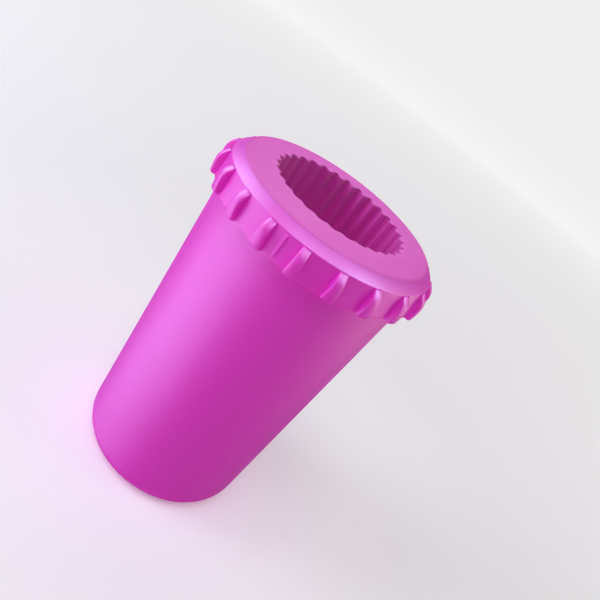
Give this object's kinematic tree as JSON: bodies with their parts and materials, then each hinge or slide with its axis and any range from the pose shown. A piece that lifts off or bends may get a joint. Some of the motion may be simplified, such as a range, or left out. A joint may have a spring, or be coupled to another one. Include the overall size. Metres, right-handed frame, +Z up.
{
  "type": "paw washer cup",
  "caption": "Tall tapered cup with a screw-on ribbed grip collar and a fluted silicone sleeve with inward bristles, for rinsing an animal's paw.",
  "frame": {"origin": "centre of the cup's base, on the plane it stands on", "axes": "+Z up along the cup's axis, -Y through the lug that faces front, +X to the right of it"},
  "size_m": [0.0568, 0.0568, 0.09],
  "materials": {
    "cup_plastic": "satin moulded polypropylene",
    "collar_plastic": "glossy moulded plastic",
    "sleeve_silicone": "matte moulded silicone",
    "seal_silicone": "matte flat silicone washer"
  },
  "bodies": {
    "cup": {"cup_body": "cup_plastic"},
    "seal": {"seal_ring": "seal_silicone"},
    "collar": {"grip_collar": "collar_plastic"},
    "sleeve": {"comb_sleeve": "sleeve_silicone", "bristle_rows": "sleeve_silicone"}
  },
  "joints": [
    {"name": "collar_rise", "type": "slide", "parent": "cup", "child": "seal", "axis": [0, 0, 1], "range_m": [0, 0.00601]},
    {"name": "collar_twist", "type": "hinge", "parent": "seal", "child": "collar", "pos_m": [0, 0, 0.084], "axis": [0, 0, 1], "range_deg": [0, 540]},
    {"name": "sleeve_lift", "type": "slide", "parent": "collar", "child": "sleeve", "axis": [0, 0, 1], "range_m": [0, 0.085]}
  ],
  "couplings": [
    {"joint": "collar_rise", "follows": "collar_twist", "m_per_rad": 0.00063662}
  ]
}
